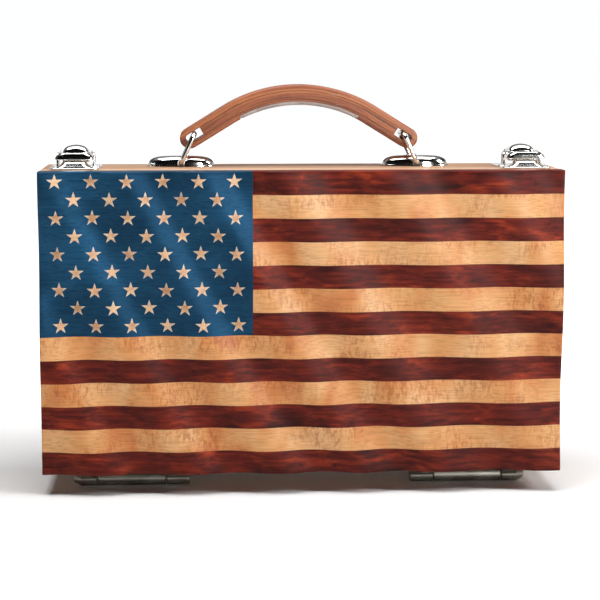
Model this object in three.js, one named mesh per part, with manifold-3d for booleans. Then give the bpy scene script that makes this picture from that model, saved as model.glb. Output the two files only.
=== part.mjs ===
// A wooden hand case that stands on its long edge. Its lid is a laminated front of thirteen light and
// dark stripes and a blue canton, carved into a wind-blown wave. Two hinges and two rear bumpers form
// the feet, two draw latches close the top, and a bent-wood handle hangs on two wire loops.
// Millimetres. +X is to the right of the carved front, +Y points to the back, +Z is up.
// The origin is on the floor, under the middle of the case.

import * as THREE from 'three';
import { mergeVertices } from 'three/addons/utils/BufferGeometryUtils.js';
import Module from 'manifold-3d';

const wasm = await Module();
wasm.setup();

// ---------------------------------------------------------------- driving dimensions

// Case
const faceWidth = 425;
const stripeCount = 13;
const stripeHeight = 19.05;
const caseDepth = 100;
const lidDepth = 40;
const panelThickness = 20;
const railThickness = 12;
const backThickness = 6;
const liningThickness = 1.5;
const groundClearance = 17.5;
const seamGap = 0.5;
const glueLine = 0.1;

// Canton and wave
const cantonStripes = 7;
const cantonWidth = 171.9;
const waveHeight = 6;
const waveLength = 65;
const longWaveLength = 88;
const longWaveStart = 190;
const firstCrest = -5;
const waveShear = 0.55;
const waveShearFade = 0.1;
const shearFadeWidth = 200;
const waveStep = 12;

// Hinges
const hingeInset = 71.5;
const hingeLength = 96.5;
const endKnuckleLength = 19.3;
const knuckleGap = 0.6;
const barrelRadius = 6;
const hingePinRadius = 2;
const pinClearance = 0.3;
const leafThickness = 2;
const leafDepth = 18;
const taperLength = 6;
const taperRadius = 3.4;
const leafSeamInset = 0.5;
const webReach = 5;
const webOverlap = 0.5;
const webShoulderDrop = 1.5;
const webBoreMargin = 0.7;
const webHeelInset = 0.3;
const pinEndInset = 0.5;

// Rear bumpers
const bumperInset = 13;
const bumperTopRadius = 9;
const bumperTipRadius = 7;
const bumperEdge = 1;

// Latches
const latchInset = 27.75;
const latchWidth = 41;
const latchPlateThickness = 1.5;
const latchCornerRadius = 5;
const latchBaseDepth = 34;
const catchDepth = 16;
const latchSeamInset = 1.5;
const catchRidgeHeight = 7;
const catchRidgeWidth = 18;
const ridgeFoot = [-3, 4];
const ridgeTop = [-1.5, 1];
const leverWidth = 21.6;
const leverLength = 39;
const leverHeight = 19.5;
const leverNose = 6;
const leverCrownSetback = 8;
const leverTailSlopeStart = 21;
const leverTailSag = 0.5;
const leverTailDrop = 2;
const leverTailEdge = 2.5;
const leverHeel = [-1, 3];
const leverHeelGap = 0.2;
const leverWaist = 11;
const leverWaistDrop = 1.5;
const latchPivotSetback = 9;
const latchPivotHeight = 9;
const latchPinRadius = 1.5;
const linkPinRadius = 1.2;
const linkForward = 5;
const linkRise = 3.6;
const latchSideGap = 0.5;
const armThickness = 2;
const armHeight = 3;
const earRadius = 4;
const earFootSpread = 2;
const armEyeMargin = 0.7;
const bridgeThickness = 2.5;
const bridgeSeamInset = 1;
const armIntoBridge = 2;
const lipThickness = 2;
const lipIntoBridge = 1;
const bridgeWidth = 34;
const bridgeDepth = 13.5;
const hookOverRidge = 1.2;

// Handle, plates and wire loops
const handleSetback = 70;
const handleWidth = 24;
const handleThickness = 17;
const handleCrownRise = 68.4;
const handleBendRadius = 113.5;
const handleBendAngle = THREE.MathUtils.degToRad(31.6);
const handleTailLength = 37;
const strapThickness = 5;
const padThickness = 3;
const padMargin = 8;
const slotLength = 15;
const plateOffset = 98.5;
const plateLength = 58;
const plateWidth = 24;
const plateHeight = 9;
const wireRadius = 2.1;
const wireClearance = 0.75;
const loopRise = 3.2;
const loopSlotGap = 0.2;
const loopSideGap = 1;
const loopCornerRadius = 5;
const loopCornerSteps = 4;
const loopLean = THREE.MathUtils.degToRad(65);

// ---------------------------------------------------------------- derived places

const caseHeight = stripeCount * stripeHeight;
const bottomZ = groundClearance;
const topZ = bottomZ + caseHeight;
const frontY = -caseDepth / 2;
const backY = caseDepth / 2;
const seamY = frontY + lidDepth;
const panelBackY = frontY + panelThickness;
const cantonHeight = cantonStripes * stripeHeight;
const leftX = -faceWidth / 2;
const rightX = faceWidth / 2;
const hingeOffset = rightX - hingeInset;
const latchOffset = rightX - latchInset;

// ---------------------------------------------------------------- finishes

const finishes = {
  redWood: new THREE.MeshStandardMaterial({ color: '#6e2f20', roughness: 0.45, metalness: 0 }),
  paleWood: new THREE.MeshStandardMaterial({ color: '#dca874', roughness: 0.42, metalness: 0 }),
  blueWood: new THREE.MeshStandardMaterial({ color: '#1f4a68', roughness: 0.4, metalness: 0 }),
  frameWood: new THREE.MeshStandardMaterial({ color: '#c39a78', roughness: 0.5, metalness: 0 }),
  handleWood: new THREE.MeshStandardMaterial({ color: '#a8603c', roughness: 0.5, metalness: 0 }),
  pad: new THREE.MeshStandardMaterial({ color: '#b9ada6', roughness: 0.8, metalness: 0 }),
  felt: new THREE.MeshStandardMaterial({ color: '#2a2f3a', roughness: 1, metalness: 0 }),
  bright: new THREE.MeshStandardMaterial({ color: '#d8dadb', roughness: 0.12, metalness: 1 }),
  satin: new THREE.MeshStandardMaterial({ color: '#a9a79c', roughness: 0.35, metalness: 1 }),
  rubber: new THREE.MeshStandardMaterial({ color: '#26221f', roughness: 0.9, metalness: 0 }),
};

// ---------------------------------------------------------------- building blocks

function piece(name, geometry, finish) {
  const mesh = new THREE.Mesh(geometry, finish);
  mesh.name = name;
  return mesh;
}

function toSolid(geometry) {
  const bare = geometry.clone();
  bare.deleteAttribute('normal');
  bare.deleteAttribute('uv');
  const welded = mergeVertices(bare, 1e-4);
  const mesh = new wasm.Mesh({
    numProp: 3,
    vertProperties: new Float32Array(welded.attributes.position.array),
    triVerts: new Uint32Array(welded.index.array),
  });
  return new wasm.Manifold(mesh);
}

function toGeometry(solid) {
  const mesh = solid.getMesh();
  const geometry = new THREE.BufferGeometry();
  geometry.setAttribute('position', new THREE.BufferAttribute(mesh.vertProperties, 3));
  geometry.setIndex(new THREE.BufferAttribute(mesh.triVerts, 1));
  geometry.computeVertexNormals();
  return geometry;
}

function joined(...geometries) {
  const solids = geometries.map(toSolid);
  return toGeometry(solids.reduce((whole, next) => whole.add(next)));
}

function cut(geometry, ...tools) {
  return toGeometry(tools.reduce((rest, tool) => rest.subtract(toSolid(tool)), toSolid(geometry)));
}

// A block between two opposite corners.
function block(low, high) {
  const size = high.map((value, axis) => value - low[axis]);
  const middle = high.map((value, axis) => (value + low[axis]) / 2);
  return new THREE.BoxGeometry(...size).translate(...middle);
}

// A profile drawn in Y and Z, extruded along X from one place to another.
function barAlongX(profile, fromX, toX, curveSegments = 5) {
  const depth = toX - fromX;
  const geometry = new THREE.ExtrudeGeometry(profile, { depth, bevelEnabled: false, curveSegments });
  const turn = new THREE.Matrix4().makeBasis(
    new THREE.Vector3(0, 1, 0),
    new THREE.Vector3(0, 0, 1),
    new THREE.Vector3(1, 0, 0),
  );
  return geometry.applyMatrix4(turn).translate(fromX, 0, 0);
}

// A profile drawn in X and Z, extruded along Y between two places.
function barAlongY(profile, fromY, toY, curveSegments = 8) {
  const depth = toY - fromY;
  const geometry = new THREE.ExtrudeGeometry(profile, { depth, bevelEnabled: false, curveSegments });
  const turn = new THREE.Matrix4().makeBasis(
    new THREE.Vector3(1, 0, 0),
    new THREE.Vector3(0, 0, 1),
    new THREE.Vector3(0, -1, 0),
  );
  return geometry.applyMatrix4(turn).translate(0, toY, 0);
}

function outline(points) {
  return new THREE.Shape(points.map(([x, y]) => new THREE.Vector2(x, y)));
}

function roundHole(x, y, radius) {
  const hole = new THREE.Path();
  hole.absarc(x, y, radius, 0, Math.PI * 2, true);
  return hole;
}

// A round pin along X.
function pinAlongX(radius, fromX, toX, y, z, sides = 14) {
  const geometry = new THREE.CylinderGeometry(radius, radius, toX - fromX, sides);
  return geometry.rotateZ(Math.PI / 2).translate((fromX + toX) / 2, y, z);
}

function roundedPlate(width, depth, radius, thickness) {
  const x = width / 2;
  const y = depth / 2;
  const shape = new THREE.Shape();
  shape.moveTo(-x + radius, -y);
  shape.absarc(x - radius, -y + radius, radius, -Math.PI / 2, 0, false);
  shape.absarc(x - radius, y - radius, radius, 0, Math.PI / 2, false);
  shape.absarc(-x + radius, y - radius, radius, Math.PI / 2, Math.PI, false);
  shape.absarc(-x + radius, -y + radius, radius, Math.PI, Math.PI * 1.5, false);
  return new THREE.ExtrudeGeometry(shape, { depth: thickness, bevelEnabled: false, curveSegments: 4 });
}

// ---------------------------------------------------------------- carved front

// Waves run down and to the right like cloth in a breeze: short ones on the left, longer ones on the right.
function carvedFrontY(x, z) {
  const across = x - leftX;
  const down = topZ - z;
  const fade = waveShearFade * (down / caseHeight) * Math.max(0, 1 - across / shearFadeWidth);
  const past = across - (waveShear - fade) * down - longWaveStart;
  const turns = (longWaveStart - firstCrest) / waveLength + past / (past > 0 ? longWaveLength : waveLength);
  return frontY + (waveHeight / 2) * (1 - Math.cos(Math.PI * 2 * turns));
}

// A glued-up member of the front: flat on its back and four sides, carved on its face.
function carvedMember(fromX, toX, fromZ, toZ, rows) {
  const width = toX - fromX;
  const height = toZ - fromZ;
  const thickness = panelBackY - frontY;
  const columns = Math.ceil(width / waveStep);
  const geometry = new THREE.BoxGeometry(width, thickness, height, columns, 1, rows);
  geometry.translate((fromX + toX) / 2, (frontY + panelBackY) / 2, (fromZ + toZ) / 2);
  const position = geometry.attributes.position;
  for (let i = 0; i < position.count; i += 1) {
    if (position.getY(i) < panelBackY - thickness / 2) {
      position.setY(i, carvedFrontY(position.getX(i), position.getZ(i)));
    }
  }
  return geometry;
}

function carvedFront() {
  const group = new THREE.Group();
  const cantonRight = leftX + cantonWidth;
  for (let number = 1; number <= stripeCount; number += 1) {
    const high = topZ - (number - 1) * stripeHeight;
    const low = high - stripeHeight + glueLine;
    const start = number <= cantonStripes ? cantonRight + glueLine : leftX;
    const finish = number % 2 === 1 ? finishes.redWood : finishes.paleWood;
    const name = `front_stripe_${String(number).padStart(2, '0')}`;
    group.add(piece(name, carvedMember(start, rightX, low, high, 1), finish));
  }
  const cantonLow = topZ - cantonHeight + glueLine;
  const canton = carvedMember(leftX, cantonRight, cantonLow, topZ, cantonStripes);
  group.add(piece('front_canton', canton, finishes.blueWood));
  return group;
}

// ---------------------------------------------------------------- wooden frames

// Four rails around an open middle: top and bottom run the full width, the sides stand between them.
function railFrame(prefix, fromY, toY) {
  const group = new THREE.Group();
  const innerLow = bottomZ + railThickness + glueLine;
  const innerHigh = topZ - railThickness - glueLine;
  const rails = {
    top_rail: block([leftX, fromY, topZ - railThickness], [rightX, toY, topZ]),
    bottom_rail: block([leftX, fromY, bottomZ], [rightX, toY, bottomZ + railThickness]),
    left_rail: block([leftX, fromY, innerLow], [leftX + railThickness, toY, innerHigh]),
    right_rail: block([rightX - railThickness, fromY, innerLow], [rightX, toY, innerHigh]),
  };
  for (const [name, geometry] of Object.entries(rails)) {
    group.add(piece(`${prefix}_${name}`, geometry, finishes.frameWood));
  }
  return group;
}

function lining(name, fromY) {
  const margin = railThickness + glueLine;
  const low = [leftX + margin, fromY, bottomZ + margin];
  const high = [rightX - margin, fromY + liningThickness, topZ - margin];
  return piece(name, block(low, high), finishes.felt);
}

function backPanel() {
  const geometry = block([leftX, backY - backThickness, bottomZ], [rightX, backY, topZ]);
  return piece('back_panel', geometry, finishes.frameWood);
}

// ---------------------------------------------------------------- hinges that are also the front feet

// One knuckle, bored for the pin. A tapered end narrows towards the outer side of the hinge.
function knuckle(fromX, toX, taperSide) {
  const half = (toX - fromX) / 2;
  const bore = hingePinRadius + pinClearance;
  const profile = [[bore, -half], [barrelRadius, -half]];
  if (taperSide === 0) {
    profile.push([barrelRadius, half]);
  } else {
    profile.push([barrelRadius, half - taperLength], [taperRadius, half]);
  }
  profile.push([bore, half], [bore, -half]);
  const points = profile.map(([radius, height]) => new THREE.Vector2(radius, height));
  const geometry = new THREE.LatheGeometry(points, 18);
  geometry.rotateZ(taperSide > 0 ? -Math.PI / 2 : Math.PI / 2);
  return geometry.translate((fromX + toX) / 2, seamY, barrelRadius);
}

// The web between a leaf and its knuckle, on one side of the seam: -1 is the lid, +1 is the base.
function web(fromX, toX, side) {
  const leafBottom = bottomZ - glueLine - leafThickness;
  const clear = hingePinRadius + pinClearance;
  const profile = outline([
    [seamY + side * (barrelRadius + webReach), leafBottom + webOverlap],
    [seamY + side * (seamGap + leafSeamInset), leafBottom + webOverlap],
    [seamY + side * (seamGap + leafSeamInset), barrelRadius * 2 - webShoulderDrop],
    [seamY + side * (clear + webBoreMargin), barrelRadius + clear],
    [seamY + side * (barrelRadius - webHeelInset), barrelRadius],
  ]);
  return barAlongX(profile, fromX, toX);
}

function leafPlate(centreX, side) {
  const high = bottomZ - glueLine;
  const near = seamY + side * (seamGap + leafSeamInset);
  const far = near + side * leafDepth;
  const low = [centreX - hingeLength / 2, Math.min(near, far), high - leafThickness];
  return block(low, [centreX + hingeLength / 2, Math.max(near, far), high]);
}

function hinge(sideName, outward) {
  const centreX = outward * hingeOffset;
  const left = centreX - hingeLength / 2;
  const right = centreX + hingeLength / 2;
  const leftTaper = outward < 0 ? -1 : 0;
  const rightTaper = outward > 0 ? 1 : 0;
  const lidLeaf = joined(
    leafPlate(centreX, -1),
    web(left + (leftTaper === 0 ? 0 : taperLength), left + endKnuckleLength, -1),
    web(right - endKnuckleLength, right - (rightTaper === 0 ? 0 : taperLength), -1),
    knuckle(left, left + endKnuckleLength, leftTaper),
    knuckle(right - endKnuckleLength, right, rightTaper),
  );
  const middleLeft = left + endKnuckleLength + knuckleGap;
  const middleRight = right - endKnuckleLength - knuckleGap;
  const baseLeaf = joined(
    leafPlate(centreX, 1),
    web(middleLeft, middleRight, 1),
    knuckle(middleLeft, middleRight, 0),
  );
  const group = new THREE.Group();
  group.add(piece(`hinge_lid_leaf_${sideName}`, lidLeaf, finishes.satin));
  group.add(piece(`hinge_base_leaf_${sideName}`, baseLeaf, finishes.satin));
  const pin = pinAlongX(hingePinRadius, left + pinEndInset, right - pinEndInset, seamY, barrelRadius);
  group.add(piece(`hinge_pin_${sideName}`, pin, finishes.satin));
  return group;
}

function bumper(sideName, outward) {
  const height = groundClearance - glueLine;
  const profile = [
    [0, 0],
    [bumperTipRadius - bumperEdge, 0],
    [bumperTipRadius, bumperEdge],
    [bumperTopRadius, height],
    [0, height],
  ];
  const points = profile.map(([radius, rise]) => new THREE.Vector2(radius, rise));
  const geometry = new THREE.LatheGeometry(points, 20);
  geometry.rotateX(Math.PI / 2).translate(outward * hingeOffset, backY - bumperInset, 0);
  return piece(`rear_bumper_${sideName}`, geometry, finishes.rubber);
}

// ---------------------------------------------------------------- draw latches

const pivotY = seamY + latchPivotSetback;
const pivotZ = topZ + latchPivotHeight;
const linkY = pivotY + linkForward;
const linkZ = pivotZ + linkRise;
const plateZ = topZ + glueLine;
const armInner = leverWidth / 2 + latchSideGap;
const earInner = armInner + armThickness + latchSideGap;

function latchCatch(sideName, centreX) {
  const middleY = seamY - seamGap / 2 - latchSeamInset - catchDepth / 2;
  const plate = roundedPlate(latchWidth, catchDepth, latchCornerRadius, latchPlateThickness);
  plate.translate(centreX, middleY, plateZ);
  const ridge = outline([
    [middleY + ridgeFoot[0], plateZ + latchPlateThickness / 2],
    [middleY + ridgeFoot[1], plateZ + latchPlateThickness / 2],
    [middleY + ridgeTop[1], topZ + catchRidgeHeight],
    [middleY + ridgeTop[0], topZ + catchRidgeHeight],
  ]);
  const bar = barAlongX(ridge, centreX - catchRidgeWidth / 2, centreX + catchRidgeWidth / 2);
  return piece(`latch_catch_${sideName}`, joined(plate, bar), finishes.bright);
}

function latchBase(sideName, centreX) {
  const plate = roundedPlate(latchWidth, latchBaseDepth, latchCornerRadius, latchPlateThickness);
  plate.translate(centreX, seamY + seamGap / 2 + latchSeamInset + latchBaseDepth / 2, plateZ);
  const ear = new THREE.Shape();
  ear.moveTo(pivotY - earRadius - earFootSpread, plateZ + latchPlateThickness / 2);
  ear.lineTo(pivotY + earRadius + earFootSpread, plateZ + latchPlateThickness / 2);
  ear.lineTo(pivotY + earRadius, pivotZ);
  ear.absarc(pivotY, pivotZ, earRadius, 0, Math.PI, false);
  ear.closePath();
  ear.holes.push(roundHole(pivotY, pivotZ, latchPinRadius + pinClearance));
  const ears = [-1, 1].map((side) => {
    const inner = centreX + side * earInner;
    const outer = centreX + side * (earInner + armThickness);
    return barAlongX(ear, Math.min(inner, outer), Math.max(inner, outer));
  });
  return piece(`latch_base_${sideName}`, joined(plate, ...ears), finishes.bright);
}

function latchPins(sideName, centreX) {
  const reach = earInner + armThickness + latchSideGap;
  const pivot = pinAlongX(latchPinRadius, centreX - reach, centreX + reach, pivotY, pivotZ, 12);
  const linkReach = armInner + armThickness;
  const link = pinAlongX(linkPinRadius, centreX - linkReach, centreX + linkReach, linkY, linkZ, 10);
  return [
    piece(`latch_pivot_pin_${sideName}`, pivot, finishes.bright),
    piece(`latch_link_pin_${sideName}`, link, finishes.bright),
  ];
}

function latchLever(sideName, centreX) {
  const nose = pivotY - leverNose;
  const tip = nose + leverLength;
  const high = topZ + leverHeight;
  const low = pivotZ - earRadius + leverHeelGap;
  const shape = new THREE.Shape();
  shape.moveTo(pivotY + leverHeel[0], low);
  shape.lineTo(pivotY + leverHeel[1], low);
  shape.lineTo(pivotY + leverWaist, pivotZ - leverWaistDrop);
  shape.lineTo(tip - 1, pivotZ - leverTailDrop);
  shape.lineTo(tip, pivotZ - leverTailDrop + leverTailEdge);
  shape.quadraticCurveTo(nose + leverTailSlopeStart, high - leverTailSag, nose + leverCrownSetback, high);
  shape.quadraticCurveTo(nose, high, nose, pivotZ + leverHeel[1]);
  shape.quadraticCurveTo(nose, low + 1, pivotY + leverHeel[0], low);
  shape.holes.push(roundHole(pivotY, pivotZ, latchPinRadius + pinClearance));
  shape.holes.push(roundHole(linkY, linkZ, linkPinRadius + pinClearance));
  const geometry = barAlongX(shape, centreX - leverWidth / 2, centreX + leverWidth / 2);
  return piece(`latch_lever_${sideName}`, geometry, finishes.bright);
}

// The hook is a bridge over the catch, carried by two arms that hang on the lever's link pin.
function latchHook(sideName, centreX) {
  const armLow = linkZ - armHeight / 2;
  const armHigh = linkZ + armHeight / 2;
  const bridgeBack = seamY - seamGap - bridgeSeamInset;
  const bridgeFront = bridgeBack - bridgeDepth;
  const lipBottom = topZ + catchRidgeHeight + hookOverRidge;
  const arm = new THREE.Shape();
  arm.moveTo(bridgeBack - armIntoBridge, armLow);
  arm.lineTo(linkY, armLow);
  arm.absarc(linkY, linkZ, armHeight / 2 + armEyeMargin, -Math.PI / 2, Math.PI / 2, false);
  arm.lineTo(linkY, armHigh);
  arm.lineTo(bridgeBack - armIntoBridge, armHigh);
  arm.closePath();
  arm.holes.push(roundHole(linkY, linkZ, linkPinRadius + pinClearance));
  const arms = [-1, 1].map((side) => {
    const inner = centreX + side * armInner;
    const outer = centreX + side * (armInner + armThickness);
    return barAlongX(arm, Math.min(inner, outer), Math.max(inner, outer));
  });
  const bridge = roundedPlate(bridgeWidth, bridgeDepth, latchCornerRadius, bridgeThickness);
  bridge.translate(centreX, bridgeFront + bridgeDepth / 2, armLow);
  const halfLip = catchRidgeWidth / 2;
  const lip = block(
    [centreX - halfLip, bridgeFront, lipBottom],
    [centreX + halfLip, bridgeFront + lipThickness, armLow + lipIntoBridge],
  );
  return piece(`latch_hook_${sideName}`, joined(bridge, lip, ...arms), finishes.bright);
}

function latch(sideName, outward) {
  const centreX = outward * latchOffset;
  const group = new THREE.Group();
  group.add(latchCatch(sideName, centreX), latchBase(sideName, centreX), ...latchPins(sideName, centreX));
  group.add(latchLever(sideName, centreX), latchHook(sideName, centreX));
  return group;
}

// ---------------------------------------------------------------- handle

const handleY = frontY + handleSetback;
const bendLength = handleBendRadius * handleBendAngle;
const gripEnd = bendLength + handleTailLength;
const bendCentreZ = topZ + handleCrownRise - handleThickness / 2 - handleBendRadius;

// A point of the grip: a distance along its bent middle line from the crown, and a height off that line.
function gripPoint(along, off) {
  const bend = THREE.MathUtils.clamp(along, -bendLength, bendLength);
  const angle = bend / handleBendRadius;
  const rest = along - bend;
  const radius = handleBendRadius + off;
  const x = radius * Math.sin(angle) + rest * Math.cos(angle);
  const z = bendCentreZ + radius * Math.cos(angle) - rest * Math.sin(angle);
  return [x, z];
}

// Points along the grip at one height, from one place to another, bent stretch in even steps.
function gripLine(from, to, off, steps = 16) {
  const points = [];
  for (let i = 0; i <= steps; i += 1) {
    points.push(gripPoint(from + ((to - from) * i) / steps, off));
  }
  return points;
}

// A half-round end between two heights.
function gripEndArc(along, lowOff, highOff, facing, steps = 8) {
  const middle = (lowOff + highOff) / 2;
  const radius = (highOff - lowOff) / 2;
  const points = [];
  for (let i = 1; i < steps; i += 1) {
    const angle = (Math.PI * i) / steps;
    const off = middle + radius * Math.cos(angle) * facing;
    points.push(gripPoint(along + facing * radius * Math.sin(angle), off));
  }
  return points;
}

const slotHalf = handleThickness / 2 - strapThickness;
const slotInnerEnd = gripEnd + slotHalf - slotLength;
const padEnd = bendLength - padMargin;
const gripHigh = handleThickness / 2;
const gripLow = -handleThickness / 2;

function handleStrap() {
  const outer = [
    ...gripLine(-gripEnd, gripEnd, gripHigh, 22),
    ...gripEndArc(gripEnd, gripLow, gripHigh, 1),
    gripPoint(gripEnd, gripLow),
    gripPoint(bendLength, gripLow),
    gripPoint(padEnd, gripLow),
    ...gripLine(padEnd, -padEnd, gripLow + padThickness),
    gripPoint(-padEnd, gripLow),
    gripPoint(-bendLength, gripLow),
    gripPoint(-gripEnd, gripLow),
    ...gripEndArc(-gripEnd, gripLow, gripHigh, -1),
  ];
  const shape = outline(outer);
  const window = [
    ...gripLine(-gripEnd, gripEnd, -slotHalf, 22),
    ...gripEndArc(gripEnd, -slotHalf, slotHalf, 1).reverse(),
    ...gripLine(gripEnd, -gripEnd, slotHalf, 22),
    ...gripEndArc(-gripEnd, -slotHalf, slotHalf, -1).reverse(),
  ];
  shape.holes.push(outline(window));
  return barAlongY(shape, handleY - handleWidth / 2, handleY + handleWidth / 2);
}

function gripBlock(end, lowOff, highOff, steps) {
  const points = [...gripLine(end, -end, highOff, steps), ...gripLine(-end, end, lowOff, steps)];
  return outline(points);
}

function handle() {
  const group = new THREE.Group();
  group.add(piece('handle_strap', handleStrap(), finishes.handleWood));
  const core = gripBlock(slotInnerEnd, -slotHalf + glueLine, slotHalf - glueLine, 20);
  const from = handleY - handleWidth / 2;
  const to = handleY + handleWidth / 2;
  group.add(piece('handle_core', barAlongY(core, from, to), finishes.handleWood));
  const pad = gripBlock(padEnd - glueLine, gripLow, gripLow + padThickness - glueLine, 16);
  group.add(piece('handle_pad', barAlongY(pad, from, to), finishes.pad));
  return group;
}

// A closed wire swept round a list of points that lie in one plane.
function wireLoop(points, planeNormal, radius, sides) {
  const positions = [];
  const faces = [];
  const count = points.length;
  points.forEach((point, i) => {
    const before = points[(i + count - 1) % count];
    const after = points[(i + 1) % count];
    const tangent = new THREE.Vector3().subVectors(after, before).normalize();
    const sideways = new THREE.Vector3().crossVectors(tangent, planeNormal);
    for (let j = 0; j < sides; j += 1) {
      const angle = (Math.PI * 2 * j) / sides;
      const vertex = point.clone();
      vertex.addScaledVector(sideways, radius * Math.cos(angle));
      vertex.addScaledVector(planeNormal, radius * Math.sin(angle));
      positions.push(...vertex.toArray());
      const here = i * sides + j;
      const beside = i * sides + ((j + 1) % sides);
      const next = ((i + 1) % count) * sides + j;
      const nextBeside = ((i + 1) % count) * sides + ((j + 1) % sides);
      faces.push(here, next, beside, next, nextBeside, beside);
    }
  });
  const geometry = new THREE.BufferGeometry();
  geometry.setAttribute('position', new THREE.Float32BufferAttribute(positions, 3));
  geometry.setIndex(faces);
  geometry.computeVertexNormals();
  return geometry;
}

// The wire's upper bar hangs just under the upper side of the slot, which sets the loop's length.
function loopLength() {
  const [tailX, tailZ] = gripPoint(bendLength, 0);
  const footX = plateOffset - tailX;
  const footZ = topZ + glueLine + loopRise - tailZ;
  const footOff = footX * Math.sin(handleBendAngle) + footZ * Math.cos(handleBendAngle);
  const barOff = slotHalf - wireRadius - loopSlotGap;
  return (barOff - footOff) / Math.sin(loopLean - handleBendAngle);
}

// A rounded rectangle of wire: its lower bar lies in the plate's tunnel, its upper bar in the handle's slot.
function handleLoop(sideName, outward) {
  const lean = new THREE.Vector3(-outward * Math.cos(loopLean), 0, Math.sin(loopLean));
  const across = new THREE.Vector3(0, 1, 0);
  const foot = new THREE.Vector3(outward * plateOffset, handleY, topZ + glueLine + loopRise);
  const halfWidth = handleWidth / 2 + loopSideGap + wireRadius;
  const corners = [[1, 0], [1, 1], [-1, 1], [-1, 0]];
  const points = [];
  corners.forEach(([side, top], index) => {
    const centreAcross = side * (halfWidth - loopCornerRadius);
    const centreUp = top === 1 ? loopLength() - loopCornerRadius : loopCornerRadius;
    for (let step = 0; step <= loopCornerSteps; step += 1) {
      const angle = -Math.PI / 2 + (index + step / loopCornerSteps) * (Math.PI / 2);
      const point = foot.clone();
      point.addScaledVector(across, centreAcross + loopCornerRadius * Math.cos(angle));
      point.addScaledVector(lean, centreUp + loopCornerRadius * Math.sin(angle));
      points.push(point);
    }
  });
  const planeNormal = new THREE.Vector3().crossVectors(across, lean).normalize();
  const geometry = wireLoop(points, planeNormal, wireRadius, 8);
  return piece(`handle_loop_${sideName}`, geometry, finishes.bright);
}

// A domed oval plate with a tunnel across it for the wire.
function handlePlate(sideName, outward) {
  const centreX = outward * plateOffset;
  const floor = topZ + glueLine;
  const dome = new THREE.SphereGeometry(1, 24, 12);
  dome.scale(plateLength / 2, plateWidth / 2, plateHeight);
  dome.translate(centreX, handleY, floor);
  const below = block(
    [centreX - plateLength, handleY - plateWidth, floor - plateHeight * 2],
    [centreX + plateLength, handleY + plateWidth, floor],
  );
  const tunnelRadius = wireRadius + wireClearance;
  const tunnel = new THREE.CylinderGeometry(tunnelRadius, tunnelRadius, plateWidth * 2, 12);
  tunnel.translate(centreX, handleY, floor + loopRise);
  const channel = block(
    [centreX - tunnelRadius, handleY - plateWidth, floor - 1],
    [centreX + tunnelRadius, handleY + plateWidth, floor + loopRise],
  );
  return piece(`handle_plate_${sideName}`, cut(dome, below, tunnel, channel), finishes.bright);
}

// ---------------------------------------------------------------- the whole case

const lid = new THREE.Group();
lid.add(carvedFront(), railFrame('lid', panelBackY + glueLine, seamY - seamGap / 2));
lid.add(lining('lid_lining', panelBackY + glueLine));

const base = new THREE.Group();
const baseRailBack = backY - backThickness - glueLine;
base.add(railFrame('base', seamY + seamGap / 2, baseRailBack), backPanel());
base.add(lining('base_lining', baseRailBack - liningThickness));

const handCase = new THREE.Group();
handCase.add(lid, base, handle());
for (const [sideName, outward] of [['left', -1], ['right', 1]]) {
  handCase.add(hinge(sideName, outward), bumper(sideName, outward), latch(sideName, outward));
  handCase.add(handlePlate(sideName, outward), handleLoop(sideName, outward));
}

export default handCase;
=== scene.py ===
import math

import bmesh
import bpy
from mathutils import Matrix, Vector


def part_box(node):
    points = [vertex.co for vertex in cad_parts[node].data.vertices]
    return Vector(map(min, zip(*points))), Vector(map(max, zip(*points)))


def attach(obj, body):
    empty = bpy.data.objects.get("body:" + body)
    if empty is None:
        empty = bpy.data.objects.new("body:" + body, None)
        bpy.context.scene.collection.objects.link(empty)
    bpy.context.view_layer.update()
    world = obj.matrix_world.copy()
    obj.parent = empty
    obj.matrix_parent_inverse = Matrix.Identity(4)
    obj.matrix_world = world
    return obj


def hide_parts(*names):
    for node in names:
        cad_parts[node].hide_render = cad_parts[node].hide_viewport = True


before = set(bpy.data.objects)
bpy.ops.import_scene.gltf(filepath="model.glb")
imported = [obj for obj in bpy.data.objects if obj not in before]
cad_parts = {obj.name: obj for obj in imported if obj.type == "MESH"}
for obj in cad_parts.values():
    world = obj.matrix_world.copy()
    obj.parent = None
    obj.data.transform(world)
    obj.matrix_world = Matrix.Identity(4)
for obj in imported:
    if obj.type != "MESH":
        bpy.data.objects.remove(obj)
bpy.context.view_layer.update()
MM = 0.001

# ------------------------------------------------------------------ camera
# A long lens a little left of the middle and above the lid, turned slightly right and down,
# with a small lens shift that keeps the upright edges nearly parallel.
canton_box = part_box("front_canton")
case_left = canton_box[0].x
case_right = -case_left
case_front = canton_box[0].y
case_top = canton_box[1].z
case_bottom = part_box("front_stripe_13")[0].z
case_height = case_top - case_bottom

camera = bpy.data.cameras.new("camera")
camera.sensor_width = 36.0
camera.lens = 95.72
camera.shift_x = 0.05
camera.shift_y = -0.1
camera.clip_end = 60.0
camera_object = bpy.data.objects.new("camera", camera)
camera_object.location = (-85.8 * MM, case_front - 1270.8 * MM, case_top + 89.4 * MM)
camera_object.rotation_euler = (math.radians(90 - 6.473), 0.0, math.radians(-2.647))
bpy.context.scene.collection.objects.link(camera_object)
bpy.context.scene.camera = camera_object

# ------------------------------------------------------------------ studio
# A white floor with a painted glow away from the case, which leaves a painted shadow under it, a wide
# softbox overhead, a key light raking over the front from the upper right, a strip that shows only in
# reflections, and a weak light behind. Polished metal sees a dark room in front of the case.
bpy.context.scene.view_settings.view_transform = "Standard"


def linear(colour):
    """An sRGB hex value as a linear colour with alpha."""
    channels = [int(colour[i:i + 2], 16) / 255 for i in (1, 3, 5)]
    return [c / 12.92 if c <= 0.04045 else ((c + 0.055) / 1.055) ** 2.4 for c in channels] + [1.0]


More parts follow.
